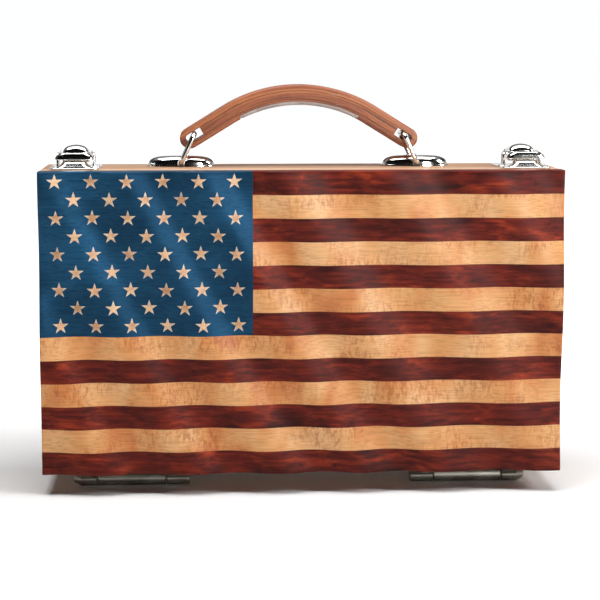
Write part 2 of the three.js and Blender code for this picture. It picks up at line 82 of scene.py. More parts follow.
def add(tree, kind, settings, inputs):
    """Adds a node with its settings or a ramp's stops. An input takes a value, a socket or a node.

    A node stands for its first output."""
    node = tree.nodes.new(kind)
    for name, value in settings.items():
        if name == "stops":
            elements = node.color_ramp.elements
            elements.remove(elements[1])
            elements[0].position = value[0][0]
            elements[0].color = linear(value[0][1])
            for position, colour in value[1:]:
                elements.new(position).color = linear(colour)
        else:
            setattr(node, name, value)
    for name, value in inputs.items():
        if isinstance(value, bpy.types.Node):
            value = value.outputs[0]
        if isinstance(value, bpy.types.NodeSocket):
            tree.links.new(value, node.inputs[name])
        else:
            node.inputs[name].default_value = value
    return node


def start_material(name):
    """A new material and its empty node tree."""
    material = bpy.data.materials.new(name)
    material.use_nodes = True
    material.node_tree.nodes.clear()
    return material, material.node_tree


def finish_material(tree, inputs):
    """Ends a material with its surface shader and its output."""
    shader = add(tree, "ShaderNodeBsdfPrincipled", {}, inputs)
    add(tree, "ShaderNodeOutputMaterial", {}, {"Surface": shader})


world = bpy.data.worlds.new("studio")
world.use_nodes = True
bpy.context.scene.world = world
sky = world.node_tree
sky.nodes.clear()
direction = add(sky, "ShaderNodeTexCoord", {}, {}).outputs["Generated"]
towards = add(sky, "ShaderNodeSeparateXYZ", {}, {"Vector": direction})
backwards = add(sky, "ShaderNodeMapRange", {}, {
    "Value": towards.outputs["Y"], "From Min": -1.0, "From Max": 1.0})
front_to_back = [
    (0.0, "#0c0d0e"), (0.22, "#141617"), (0.36, "#505254"),
    (0.48, "#c4c6c8"), (0.8, "#dcdedf"), (1.0, "#e8eaea")]
floor_to_ceiling = [
    (0.0, "#ffffff"), (0.26, "#f2f2f2"), (0.42, "#4a4c4e"),
    (0.7, "#5a5c5e"), (0.86, "#d8d8d8"), (1.0, "#f0f0f0")]
room = add(sky, "ShaderNodeValToRGB", {"stops": front_to_back}, {"Fac": backwards})
ceiling = add(sky, "ShaderNodeValToRGB", {"stops": floor_to_ceiling}, {"Fac": towards.outputs["Z"]})
mirrored = add(sky, "ShaderNodeMix", {"data_type": "RGBA", "blend_type": "MULTIPLY"},
               {"Factor": 1.0, "A": room, "B": ceiling})
ray = add(sky, "ShaderNodeLightPath", {}, {})
lit = add(sky, "ShaderNodeMix", {"data_type": "RGBA"},
          {"Factor": ray.outputs["Is Glossy Ray"], "A": linear("#1c1c1d"), "B": mirrored.outputs["Result"]})
shown = add(sky, "ShaderNodeMix", {"data_type": "RGBA"},
            {"Factor": ray.outputs["Is Camera Ray"], "A": lit.outputs["Result"], "B": linear("#feffff")})
background = add(sky, "ShaderNodeBackground", {}, {"Color": shown.outputs["Result"], "Strength": 1.0})
add(sky, "ShaderNodeOutputWorld", {}, {"Surface": background})


def softbox(name, place, target, size, watts, lights_matt=True):
    """An area light. One that does not light matt surfaces shows only as a reflection."""
    light = bpy.data.lights.new(name, "AREA")
    light.shape = "RECTANGLE"
    light.size, light.size_y = size
    light.energy = watts
    lamp = bpy.data.objects.new(name, light)
    lamp.location = place
    lamp.rotation_euler = (Vector(target) - Vector(place)).to_track_quat("-Z", "Y").to_euler()
    lamp.visible_diffuse = lights_matt
    bpy.context.scene.collection.objects.link(lamp)


softbox("top_softbox", (0.0, -0.28, 1.55), (0.0, -0.28, 0.0), (1.7, 0.8), 30.0)
softbox("key_softbox", (1.35, -0.55, 0.95), (0.0, -0.05, 0.15), (0.3, 0.6), 13.5)
softbox("band_softbox", (0.62, -1.1, 0.42), (-0.1, -0.05, 0.2), (0.2, 0.5), 8.0, lights_matt=False)
softbox("back_softbox", (0.2, 1.9, 1.0), (0.0, 0.0, 0.14), (1.8, 0.9), 1.5)

floor_radius = 9.0
floor_mesh = bpy.data.meshes.new("studio_floor")
floor_builder = bmesh.new()
bmesh.ops.create_circle(floor_builder, cap_ends=True, segments=96, radius=floor_radius)
floor_builder.to_mesh(floor_mesh)
floor_builder.free()
floor = bpy.data.objects.new("studio_floor", floor_mesh)
bpy.context.scene.collection.objects.link(floor)
white_paper, tree = start_material("white_paper")
place = add(tree, "ShaderNodeTexCoord", {}, {}).outputs["Object"]
either_side = add(tree, "ShaderNodeVectorMath", {"operation": "ABSOLUTE"}, {0: place})
past_case = add(tree, "ShaderNodeVectorMath", {"operation": "SUBTRACT"},
                {0: either_side, 1: (case_right, -case_front, 0.0)})
outside = add(tree, "ShaderNodeVectorMath", {"operation": "MAXIMUM"}, {0: past_case, 1: (0.0, 0.0, 0.0)})
# the floor's painted glow is nothing under the case, which leaves a painted shadow there, and full 0.6 m
# from it
distance = add(tree, "ShaderNodeVectorMath", {"operation": "LENGTH"}, {0: outside})
glow = add(tree, "ShaderNodeMapRange", {"interpolation_type": "SMOOTHSTEP"},
           {"Value": distance.outputs["Value"], "From Min": 0.02, "From Max": 0.6, "To Max": 1.05})
ray = add(tree, "ShaderNodeLightPath", {}, {})
# reflections see the painted glow at 0.3 of its strength, a painted darkening of the floor in them
unmirrored = add(tree, "ShaderNodeMapRange", {}, {
    "Value": ray.outputs["Is Glossy Ray"], "To Min": 1.0, "To Max": 0.3})
glow_strength = add(tree, "ShaderNodeMath", {"operation": "MULTIPLY"}, {0: glow, 1: unmirrored})
finish_material(tree, {
    "Base Color": linear("#fcfcfc"), "Roughness": 0.6,
    "Emission Color": linear("#ffffff"), "Emission Strength": glow_strength})
floor_mesh.materials.append(white_paper)

# ------------------------------------------------------------------ red boards: padauk
# Padauk, planed, sanded and oiled: a dark red-brown wood with orange patches, purple-grey clouds and
# long open pores. The oil leaves a low, broad sheen.


def wood_figure(tree, length, width, detail=3.0, wander=0.3):
    """A pattern from 0 to 1 whose marks have a length along the grain and a width across it, in mm."""
    grain = add(tree, "ShaderNodeAttribute", {"attribute_name": "grain"}, {}).outputs["Vector"]
    marks = (1000 / length, 1000 / width, 1000 / width)
    scaled = add(tree, "ShaderNodeVectorMath", {"operation": "MULTIPLY"}, {0: grain, 1: marks})
    return add(tree, "ShaderNodeTexNoise", {}, {
        "Vector": scaled, "Scale": 1.0, "Detail": detail, "Roughness": 0.55, "Distortion": wander})


def darkened(tree, colour, figure, stops, amount):
    """A colour with a figure laid over it by an amount, as darker marks whose tints are the stops."""
    marks = add(tree, "ShaderNodeValToRGB", {"stops": stops}, {"Fac": figure})
    return add(tree, "ShaderNodeMix", {"data_type": "RGBA", "blend_type": "MULTIPLY"}, {
        "Factor": amount, "A": colour, "B": marks}).outputs["Result"]


oiled_padauk, tree = start_material("oiled_padauk")
# streaks 70 mm by 3 mm, clouds 40 mm by 14 mm, grey haze 90 mm by 22 mm, and pores 9 mm long that are
# drawn 0.8 mm wide so that they show
streaks = wood_figure(tree, 70, 3.0, 4.0, 0.4)
clouds = wood_figure(tree, 40, 14, 3.0, 0.8)
haze = wood_figure(tree, 90, 22, 2.0, 0.6)
pores = wood_figure(tree, 9, 0.8, 2.0, 0.0)
base = add(tree, "ShaderNodeValToRGB", {"stops": [
    (0.3, "#5e1a10"), (0.46, "#702012"), (0.58, "#7e2814"), (0.72, "#aa3e1c")]}, {"Fac": clouds})
streaked = darkened(tree, base, streaks, [(0.3, "#5c4440"), (0.5, "#c8b4ae"), (0.66, "#ffffff")], 0.8)
hazed = darkened(tree, streaked, haze, [(0.5, "#ffffff"), (0.72, "#9a8680")], 1.0)
pored = darkened(tree, hazed, pores, [(0.3, "#6a5a56"), (0.42, "#ffffff")], 0.45)
relief = add(tree, "ShaderNodeBump", {}, {"Strength": 0.2, "Distance": 0.15 * MM, "Height": pores})
gloss = add(tree, "ShaderNodeMapRange", {}, {"Value": streaks, "To Min": 0.36, "To Max": 0.5})
finish_material(tree, {
    "Base Color": pored, "Roughness": gloss, "Specular IOR Level": 0.12, "Normal": relief})

# ------------------------------------------------------------------ pale boards: curly maple
# Curly maple, sanded and lacquered: honey-tan, with fine grey-brown growth lines along the board and
# ripples of curl across it that turn from light to orange-brown.
lacquered_maple, tree = start_material("lacquered_curly_maple")
# growth lines 1.2 mm apart, curl ripples 2.6 mm apart in patches about 55 mm long
lines = wood_figure(tree, 90, 1.2, 3.0)
ripples = wood_figure(tree, 2.6, 8, 2.0, 0.8)
bands = wood_figure(tree, 30, 60, 1.0, 0.4)
patches = wood_figure(tree, 55, 30, 1.0)
honey = add(tree, "ShaderNodeValToRGB", {"stops": [
    (0.3, "#c87c44"), (0.42, "#d49256"), (0.54, "#daa066"), (0.7, "#e0ae7a")]}, {"Fac": bands})
lined = darkened(tree, honey, lines, [(0.32, "#b09878"), (0.5, "#f2e8da"), (0.62, "#ffffff")], 0.42)
curly = add(tree, "ShaderNodeMapRange", {}, {
    "Value": patches, "From Min": 0.42, "From Max": 0.6, "To Max": 0.6})
curled = darkened(tree, lined, ripples, [(0.36, "#c89a6c"), (0.54, "#ffffff")], curly)
relief = add(tree, "ShaderNodeBump", {}, {"Strength": 0.2, "Distance": 0.25 * MM, "Height": ripples})
finish_material(tree, {
    "Base Color": curled, "Roughness": 0.42, "Specular IOR Level": 0.25, "Normal": relief,
    "Coat Weight": 0.05, "Coat Roughness": 0.25})

# ------------------------------------------------------------------ blue canton: stained hardwood
# A close-grained board stained teal-blue and lacquered: deep blue with fine darker lines along the
# grain, and a satin film that shows each wave as a soft paler band.
stained_wood, tree = start_material("blue_stained_hardwood")
# stain lines 1.4 mm apart and 60 mm long over stain blotches 60 mm by 40 mm
lines = wood_figure(tree, 60, 1.4, 3.0, 0.2)
blotches = wood_figure(tree, 60, 40, 2.0, 0.4)
stain = add(tree, "ShaderNodeValToRGB", {"stops": [
    (0.34, "#132f44"), (0.5, "#17384e"), (0.66, "#1d4662")]}, {"Fac": blotches})
stained = darkened(tree, stain, lines, [(0.3, "#7e8c98"), (0.48, "#dce4ea"), (0.62, "#ffffff")], 0.6)
relief = add(tree, "ShaderNodeBump", {}, {"Strength": 0.12, "Distance": 0.1 * MM, "Height": lines})
finish_material(tree, {
    "Base Color": stained, "Roughness": 0.4, "Specular IOR Level": 0.5, "Specular Tint": linear("#5aa4de"),
    "Normal": relief})

# ------------------------------------------------------------------ carved front
# Thirteen boards and a canton glued edge to edge, then carved together into one rippling surface and
# sanded. Each board is a fine grid on the carved surface, with its outer edges eased.
wave_height = 6 * MM
wave_length = 65 * MM
long_wave_length = 88 * MM
long_wave_start = 190 * MM
first_crest = -5 * MM
wave_shear = 0.55
shear_fade = 0.1
fade_width = 200 * MM
panel_back = canton_box[1].y
stripe_count = 13
canton_stripes = 7
stripe_height = case_height / stripe_count
canton_right = canton_box[1].x
canton_low = case_top - canton_stripes * stripe_height
edge_easing = 1.2 * MM
carving_step = 2.0 * MM


def carved_y(x, z):
    """How far back the carved surface lies at a place on the front."""
    across = x - case_left
    down = case_top - z
    fade = shear_fade * down / case_height * max(0.0, 1 - across / fade_width)
    past = across - (wave_shear - fade) * down - long_wave_start
    length_here = long_wave_length if past > 0 else wave_length
    turns = (long_wave_start - first_crest) / wave_length + past / length_here
    return case_front + wave_height / 2 * (1 - math.cos(2 * math.pi * turns))


def build(name, shape, body, material, stands_for=(), grain=None, sharp=None, rounding=0.0, steps=3):
    """Makes a piece from points and faces, with edges sharp past an angle or rounded by a radius."""
    points, faces = shape
    mesh = bpy.data.meshes.new(name)
    mesh.from_pydata([tuple(p) for p in points], [], faces)
    builder = bmesh.new()
    builder.from_mesh(mesh)
    bmesh.ops.remove_doubles(builder, verts=builder.verts, dist=0.002 * MM)
    bmesh.ops.recalc_face_normals(builder, faces=builder.faces)
    builder.to_mesh(mesh)
    builder.free()
    mesh.shade_smooth()
    if sharp:
        mesh.set_sharp_from_angle(angle=math.radians(sharp))
    if grain:
        values = mesh.attributes.new("grain", "FLOAT_VECTOR", "POINT")
        for i, vertex in enumerate(mesh.vertices):
            values.data[i].vector = grain(vertex.co)
    mesh.materials.append(material)
    piece = bpy.data.objects.new(name, mesh)
    bpy.context.scene.collection.objects.link(piece)
    if rounding:
        rounded = piece.modifiers.new("rounded_edges", "BEVEL")
        rounded.width = rounding
        rounded.segments = steps
        rounded.angle_limit = math.radians(35)
        piece.modifiers.new("flat_faces", "WEIGHTED_NORMAL")
    if stands_for:
        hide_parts(*stands_for)
    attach(piece, body)
    return piece


def spread(low, high):
    """Places from low to high in even steps, with a narrow eased margin at each end."""
    count = max(2, round((high - low - 2 * edge_easing) / carving_step))
    inner = [low + edge_easing + (high - low - 2 * edge_easing) * i / count for i in range(count + 1)]
    return [low, low + edge_easing * 0.3] + inner + [high - edge_easing * 0.3, high]


def carved_board(name, low_x, high_x, low_z, high_z, material, node, offset, eased):
    """One board of the front. eased says which of its left, right, bottom and top edges are outer ones."""
    places_x = spread(low_x, high_x)
    places_z = spread(low_z, high_z)
    points = []
    faces = []
    for z in places_z:
        for x in places_x:
            y = carved_y(x, z)
            gaps = (x - low_x, high_x - x, z - low_z, high_z - z)
            for gap, outside in zip(gaps, eased):
                if outside and gap < edge_easing:
                    y += edge_easing * (1 - math.sqrt(1 - (1 - gap / edge_easing) ** 2))
            points.append((x, y, z))
    columns = len(places_x)
    rows = len(places_z)
    for row in range(rows - 1):
        for column in range(columns - 1):
            here = row * columns + column
            faces.append((here, here + 1, here + columns + 1, here + columns))
    rim = list(range(columns))
    rim += [row * columns + columns - 1 for row in range(1, rows)]
    rim += [(rows - 1) * columns + column for column in range(columns - 2, -1, -1)]
    rim += [row * columns for row in range(rows - 2, 0, -1)]
    start = len(points)
    for index in rim:
        points.append((points[index][0], panel_back, points[index][2]))
    for i, index in enumerate(rim):
        after = (i + 1) % len(rim)
        faces.append((index, start + i, start + after, rim[after]))
    faces.append(tuple(range(start, start + len(rim))))
    # the offset gives each board its own stretch of grain
    grain = lambda co: (co.x + 1.7 * offset, co.z + 0.37 * offset, co.y + 0.11 * offset)
    build(name, (points, faces), "lid", material, [node], grain, sharp=50)


for number in range(1, stripe_count + 1):
    high = case_top - (number - 1) * stripe_height
    low = high - stripe_height
    start = canton_right if number <= canton_stripes else case_left
    wood, wood_slot = (oiled_padauk, "red_wood") if number % 2 else (lacquered_maple, "pale_wood")
    outer = (number > canton_stripes, True, number == stripe_count, number == 1)
    carved_board(f"carved_board_{number:02d}", start, case_right, low, high, wood,
                 f"front_stripe_{number:02d}", number, outer)
carved_board("carved_canton", case_left, canton_right, canton_low, case_top, stained_wood,
             "front_canton", 20, (True, False, False, True))

# ------------------------------------------------------------------ star inlays
# Fifty five-pointed stars of maple let into the canton before carving, so that they follow its waves.
# Each is a thin plug that ends flush with the carved surface.
inlaid_maple, tree = start_material("inlaid_maple")
# short grain flecks 1 mm wide, a warmer or paler tint from star to star, and tips bleached by sanding
flecks = wood_figure(tree, 7, 1.0, 3.0)
tint = wood_figure(tree, 24, 17, 0.0)
star_tint = add(tree, "ShaderNodeValToRGB", {"stops": [
    (0.32, "#b88658"), (0.5, "#d0a278"), (0.68, "#dab48a")]}, {"Fac": tint})
star_place = add(tree, "ShaderNodeAttribute", {"attribute_name": "grain"}, {}).outputs["Vector"]
from_centre = add(tree, "ShaderNodeSeparateXYZ", {}, {"Vector": star_place}).outputs["Z"]
tip = add(tree, "ShaderNodeMapRange", {}, {
    "Value": from_centre, "From Min": 2.4 * MM, "From Max": 5.0 * MM, "To Max": 0.9})
tipped = add(tree, "ShaderNodeMix", {"data_type": "RGBA"}, {
    "Factor": tip, "A": star_tint, "B": linear("#d2c8b8")})
flecked = darkened(tree, tipped.outputs["Result"], flecks, [(0.34, "#c9a884"), (0.56, "#ffffff")], 0.6)
finish_material(tree, {
    "Base Color": flecked, "Roughness": 0.45, "IOR": 1.5, "Coat Weight": 0.1, "Coat Roughness": 0.3})

star_rows = 9
star_radius = 6.6 * MM
star_inner_radius = star_radius * 0.382
star_column_pitch = 28.7 * MM
star_row_pitch = 14.58 * MM
first_star_in = 13.6 * MM
first_star_down = 8.1 * MM
star_grid_lean = 3.2 * MM
star_proud = 0.06 * MM
plug_depth = 1.0 * MM
star_cuts = 4


def star_plug(centre_x, centre_z, points, faces):
    """Adds one star. Its face is cut into small triangles so that it can follow the waves."""
    rim = []
    for i in range(10):
        angle = math.pi / 2 + i * math.pi / 5
        reach = star_inner_radius if i % 2 else star_radius
        rim.append((centre_x + reach * math.cos(angle), centre_z + reach * math.sin(angle)))
    for i in range(10):
        corner_a = rim[i]
        corner_b = rim[(i + 1) % 10]
        index = {}
        for a in range(star_cuts + 1):
            for b in range(star_cuts + 1 - a):
                share_a = a / star_cuts
                share_b = b / star_cuts
                rest = 1 - share_a - share_b
                x = centre_x * rest + corner_a[0] * share_a + corner_b[0] * share_b
                z = centre_z * rest + corner_a[1] * share_a + corner_b[1] * share_b
                index[a, b] = len(points)
                points.append((x, carved_y(x, z) - star_proud, z))
        for a in range(star_cuts):
            for b in range(star_cuts - a):
                faces.append((index[a, b], index[a, b + 1], index[a + 1, b]))
                if a + b < star_cuts - 1:
                    faces.append((index[a + 1, b], index[a, b + 1], index[a + 1, b + 1]))
        for step in range(star_cuts):
            one = index[star_cuts - step, step]
            two = index[star_cuts - step - 1, step + 1]
            below = len(points)
            for x, y, z in (points[one], points[two]):
                points.append((x, y + plug_depth, z))
            faces.append((one, two, below + 1, below))


def star_grain(co):
    """Grain along the canton, with the distance from the middle of the nearest star as its third part."""
    return (co.x, co.z, min(math.hypot(co.x - x, co.z - z) for x, z in star_centres))


points = []
faces = []
star_centres = []
for row in range(star_rows):
    stars_in_row = 5 if row % 2 else 6
    inset = star_column_pitch / 2 if row % 2 else 0.0
    row_start = case_left + first_star_in + inset + star_grid_lean * row / (star_rows - 1)
    row_height = case_top - first_star_down - row * star_row_pitch
    for column in range(stars_in_row):
        star_centres.append((row_start + column * star_column_pitch, row_height))
        star_plug(*star_centres[-1], points, faces)
build("star_inlays", (points, faces), "lid", inlaid_maple, (), star_grain, sharp=50)

# ------------------------------------------------------------------ lid and base frames
# Each half of the case is a frame of four solid rails, glued at the corners, planed and lacquered. The
# wood is a pinkish brown hardwood with straight grain. Long edges are eased with a sanding block.

# growth lines 1.2 mm apart over broad bands 9 mm wide; the lid's tint is the lit one and the base's darker
# tint is painted shade
frame_tints_with_painted_shade = {
    "lid": [(0.3, "#bd9474"), (0.5, "#cfa888"), (0.7, "#dab898")],
    "base": [(0.3, "#a07a60"), (0.5, "#b38c6c"), (0.7, "#c29c7c")],
}
frame_wood = {}
# each half gets its own copy of the one wood: the lid's as lit, the base's darker with painted shade
for body, stops in frame_tints_with_painted_shade.items():
    frame_wood[body], tree = start_material(f"lacquered_{body}_frame_wood")
    lines = wood_figure(tree, 120, 1.2, 3.0)
    bands = wood_figure(tree, 160, 9, 2.0, 0.4)
    banded = add(tree, "ShaderNodeValToRGB", {"stops": stops}, {"Fac": bands})
    grained = darkened(tree, banded, lines, [(0.32, "#a08470"), (0.5, "#eee4dc"), (0.62, "#ffffff")], 0.55)
    relief = add(tree, "ShaderNodeBump", {}, {"Strength": 0.15, "Distance": 0.15 * MM, "Height": lines})
    finish_material(tree, {
        "Base Color": grained, "Roughness": 0.52, "Specular IOR Level": 0.25, "Normal": relief})


def block(low, high):
    """The points and faces of a block between two opposite corners."""
    points = [(x, y, z) for x in (low[0], high[0]) for y in (low[1], high[1]) for z in (low[2], high[2])]
    faces = [(0, 1, 3, 2), (4, 6, 7, 5), (0, 4, 5, 1), (2, 3, 7, 6), (0, 2, 6, 4), (1, 5, 7, 3)]
    return points, faces


for body in ("lid", "base"):
    for number, rail in enumerate(("top_rail", "bottom_rail", "left_rail", "right_rail")):
        # a different stretch of grain for each rail
        shift = 2.3 * number + (11 if body == "lid" else 17)
        if rail in ("top_rail", "bottom_rail"):
            grain = lambda co: (co.x + shift, co.y + shift, co.z)
        else:
            grain = lambda co: (co.z + shift, co.y + shift, co.x)
        node = f"{body}_{rail}"
        build(f"{body}_frame_{rail}", block(*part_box(node)), body, frame_wood[body], [node],
              grain, rounding=0.8 * MM)

# ------------------------------------------------------------------ back panel and linings
# The back is one thin board of the same wood, glued on behind the base frame. Lid and back are lined
# inside with dark felt, pressed from short fibres and glued down.
# the back board takes the base's darker tint, with its painted shade
build("back_board", block(*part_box("back_panel")), "base", frame_wood["base"], ["back_panel"],
      lambda co: (co.x + 29, co.z + 31, co.y), rounding=1.0 * MM)

pressed_felt, tree = start_material("pressed_felt")
place = add(tree, "ShaderNodeTexCoord", {}, {}).outputs["Object"]
# fibre tufts 1.2 mm across, mottled over 12 mm
tufts = add(tree, "ShaderNodeTexNoise", {}, {"Vector": place, "Scale": 830.0, "Detail": 3.0})
mottle = add(tree, "ShaderNodeTexNoise", {}, {"Vector": place, "Scale": 83.0, "Detail": 2.0})
felt_blue = add(tree, "ShaderNodeValToRGB", {"stops": [
    (0.3, "#1b212c"), (0.6, "#2c3442"), (0.8, "#3b4556")]}, {"Fac": tufts})
mottled = darkened(tree, felt_blue, mottle, [(0.35, "#b0b0b0"), (0.6, "#ffffff")], 0.5)
relief = add(tree, "ShaderNodeBump", {}, {"Strength": 0.6, "Distance": 0.4 * MM, "Height": tufts})
finish_material(tree, {
    "Base Color": mottled, "Roughness": 0.95, "Normal": relief,
    "Sheen Weight": 0.35, "Sheen Roughness": 0.5})
for body in ("lid", "base"):
    build(f"{body}_felt", block(*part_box(f"{body}_lining")), body, pressed_felt, [f"{body}_lining"],
          rounding=0.5 * MM)

# ------------------------------------------------------------------ hinges
# Two long three-knuckle hinges of satin nickel-plated steel under the seam. Their barrels carry the
# case. The outer end of each is turned to a taper, and each leaf has four countersunk screws.
satin_nickel, tree = start_material("satin_nickel_plate")
place = add(tree, "ShaderNodeTexCoord", {}, {}).outputs["Object"]
# brushing lines 0.7 mm apart around the barrel, drawn coarser than real so that they show
brushing = add(tree, "ShaderNodeVectorMath", {"operation": "MULTIPLY"}, {0: place, 1: (1400.0, 90.0, 90.0)})
brushed = add(tree, "ShaderNodeTexNoise", {}, {"Vector": brushing, "Scale": 1.0, "Detail": 3.0})
smears = add(tree, "ShaderNodeTexNoise", {}, {"Vector": place, "Scale": 55.0, "Detail": 3.0})
nickel = add(tree, "ShaderNodeValToRGB", {"stops": [(0.35, "#8d8a80"), (0.65, "#a8a69c")]}, {"Fac": smears})
gloss = add(tree, "ShaderNodeMapRange", {}, {"Value": brushed, "To Min": 0.28, "To Max": 0.48})
relief = add(tree, "ShaderNodeBump", {}, {"Strength": 0.15, "Distance": 0.05 * MM, "Height": brushed})
finish_material(tree, {"Base Color": nickel, "Metallic": 1.0, "Roughness": gloss, "Normal": relief})

hinge_axis = (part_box("hinge_pin_left")[0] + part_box("hinge_pin_left")[1]) / 2
barrel_radius = 6 * MM
end_knuckle = 19.3 * MM
knuckle_gap = 0.6 * MM
taper_length = 6 * MM
taper_radius = 3.4 * MM
leaf_thickness = 2 * MM
leaf_inset = 1 * MM
web_reach = 4.5 * MM
pin_chamfer = 0.4 * MM
screw_radius = 3.4 * MM
screw_shares = (-0.4, -0.14, 0.14, 0.4)
screw_proud = 0.05 * MM


def turned(profile, centre, axis, sides=32):
    """Points and faces of a turned shape: (place along the axis, radius) pairs spun about X or Z."""
    points = []
    faces = []
    for along, radius in profile:
        for i in range(sides):
            angle = 2 * math.pi * i / sides
            one = radius * math.cos(angle)
            two = radius * math.sin(angle)
            offset = (along, one, two) if axis == "X" else (one, two, along)
            points.append([centre[j] + offset[j] for j in range(3)])
    for start in range(0, (len(profile) - 1) * sides, sides):
        for i in range(sides):
            after = (i + 1) % sides
            faces.append((start + i, start + after, start + sides + after, start + sides + i))
    return points, faces


def extruded(outline, axis, low, high):
    """An outline pushed along an axis. It lies in Y and Z for an axis of X, and in X and Y for Z."""
    count = len(outline)
    points = []
    for along in (low, high):
        points += [(along, a, b) if axis == "X" else (a, b, along) for a, b in outline]
    faces = [tuple(range(count)), tuple(range(2 * count - 1, count - 1, -1))]
    faces += [(i, (i + 1) % count, count + (i + 1) % count, count + i) for i in range(count)]
    return points, faces


def arc(centre, radius, start, end, steps):
    """Places on a circle from a start to an end, both in quarter turns, in even steps."""
    places = []
    for i in range(steps + 1):
        angle = math.pi / 2 * (start + (end - start) * i / steps)
        places.append((centre[0] + radius * math.cos(angle), centre[1] + radius * math.sin(angle)))
    return places


def rounded_outline(low, high, radius, steps=6):
    """The outline of a flat plate with round corners."""
    outline = []
    corners = ((high[0], high[1]), (low[0], high[1]), (low[0], low[1]), (high[0], low[1]))
    for quarter, (x, y) in enumerate(corners):
        centre_x = x - math.copysign(radius, x - (low[0] + high[0]) / 2)
        centre_y = y - math.copysign(radius, y - (low[1] + high[1]) / 2)
        outline += arc((centre_x, centre_y), radius, quarter, quarter + 1, steps)
    return outline


def together(*shapes):
    """Several closed shapes as one list of points and one of faces."""
    points = []
    faces = []
    for shape_points, shape_faces in shapes:
        start = len(points)
        points += shape_points
        faces += [tuple(start + i for i in face) for face in shape_faces]
    return points, faces


def screw_head(x, y, z, facing, radius, sides=32):
    """A flat countersunk head with a cross recess, facing up (1) or down (-1)."""
    recess_reach = radius * 0.5
    recess_half = radius * 0.14
    recess_depth = 0.5 * MM
    rings = [radius * share for share in (0.02, 0.12, 0.2, 0.3, 0.4, 0.5, 0.54, 0.8, 0.96)]
    profile = [(0.0, ring) for ring in rings] + [(-0.15 * MM, radius), (-1.0 * MM, radius)]
    points, faces = turned([(facing * along, ring) for along, ring in profile], (x, y, z), "Z", sides)
    for point in points:
        across = point[0] - x
        along = point[1] - y
        if math.hypot(across, along) <= recess_reach and min(abs(across), abs(along)) <= recess_half:
            point[2] -= facing * recess_depth
    faces.append(tuple(range(sides)))
    return points, faces


def knuckle(low, high, taper):
    """A barrel section with slightly rounded ends, tapered at its low (-1) or high (1) end if asked."""
    soft = 0.5 * MM
    profile = [(low, 0.0), (low, barrel_radius - soft), (low + soft, barrel_radius)]
    profile += [(high - soft, barrel_radius), (high, barrel_radius - soft), (high, 0.0)]
    if taper < 0:
        profile[1:3] = [
            (low, taper_radius - soft), (low + soft, taper_radius), (low + taper_length, barrel_radius)]
    if taper > 0:
        profile[3:5] = [
            (high - taper_length, barrel_radius), (high - soft, taper_radius), (high, taper_radius - soft)]
    return turned(profile, (0.0, hinge_axis.y, hinge_axis.z), "X", 40)


for side, outward in (("left", -1), ("right", 1)):
    leaf_low, leaf_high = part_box(f"hinge_lid_leaf_{side}")
    middle = (leaf_low.x + leaf_high.x) / 2
    # the lid's leaf has the two end knuckles and the base's leaf has the one between them
    left_end = (leaf_low.x, leaf_low.x + end_knuckle)
    right_end = (leaf_high.x - end_knuckle, leaf_high.x)
    centre_part = (left_end[1] + knuckle_gap, right_end[0] - knuckle_gap)
    parts = {"lid": [left_end, right_end], "base": [centre_part]}
    for body, facing in (("lid", -1), ("base", 1)):
        node = f"hinge_{body}_leaf_{side}"
        low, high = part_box(node)
        near = hinge_axis.y + facing * leaf_inset
        far = low.y if facing < 0 else high.y
        corners = ((low.x, min(near, far)), (high.x, max(near, far)))
        shapes = [extruded(rounded_outline(*corners, 2 * MM), "Z", high.z - leaf_thickness, high.z)]
        for start, end in parts[body]:
            taper = 0
            if body == "lid" and outward * (start + end) / 2 > outward * middle:
                taper = outward
            trim_low = taper_length if taper < 0 else 0.0
            trim_high = taper_length if taper > 0 else 0.0
            web_far = hinge_axis.y + facing * (barrel_radius + web_reach)
            web_side = hinge_axis.y + facing * (barrel_radius - 0.2 * MM)
            leaf_middle = high.z - leaf_thickness / 2
            web = [(web_far, leaf_middle), (near, leaf_middle), (near, hinge_axis.z + 2 * MM),
                   (web_side, hinge_axis.z + 0.5 * MM)]
            shapes.append(extruded(web, "X", start + trim_low, end - trim_high))
            shapes.append(knuckle(start, end, taper))
        build(f"hinge_{body}_{side}", together(*shapes), body, satin_nickel, [node],
              sharp=30)
        screws = []
        screw_z = high.z - leaf_thickness - screw_proud
        for share in screw_shares:
            screw_x = middle + share * (high.x - low.x)
            screws.append(screw_head(screw_x, (near + far * 2) / 3, screw_z, -1, screw_radius))
        build(f"hinge_{body}_screws_{side}", together(*screws), body, satin_nickel,
              sharp=30)
    pin_low, pin_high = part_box(f"hinge_pin_{side}")
    pin_radius = (pin_high.z - pin_low.z) / 2
    pin = [(pin_low.x, 0.0), (pin_low.x, pin_radius * 0.8), (pin_low.x + pin_chamfer, pin_radius)]
    pin += [(pin_high.x - pin_chamfer, pin_radius), (pin_high.x, pin_radius * 0.8), (pin_high.x, 0.0)]
    build(f"hinge_rod_{side}", turned(pin, (0.0, hinge_axis.y, hinge_axis.z), "X"), "base",
          satin_nickel, [f"hinge_pin_{side}"], sharp=30)

# ------------------------------------------------------------------ rear bumpers
# Two moulded rubber feet behind the hinges, as high as the hinge barrels. Each tapers slightly, has a
# rounded tread, and is held by one sunk screw.
moulded_rubber, tree = start_material("moulded_rubber")
place = add(tree, "ShaderNodeTexCoord", {}, {}).outputs["Object"]
# mould texture 0.7 mm across
pebble = add(tree, "ShaderNodeTexNoise", {}, {"Vector": place, "Scale": 1400.0, "Detail": 2.0})
dust = add(tree, "ShaderNodeTexNoise", {}, {"Vector": place, "Scale": 120.0, "Detail": 3.0})
black = add(tree, "ShaderNodeValToRGB", {"stops": [(0.35, "#1d1b1a"), (0.7, "#383431")]}, {"Fac": dust})
relief = add(tree, "ShaderNodeBump", {}, {"Strength": 0.3, "Distance": 0.1 * MM, "Height": pebble})
finish_material(tree, {"Base Color": black, "Roughness": 0.72, "Normal": relief})

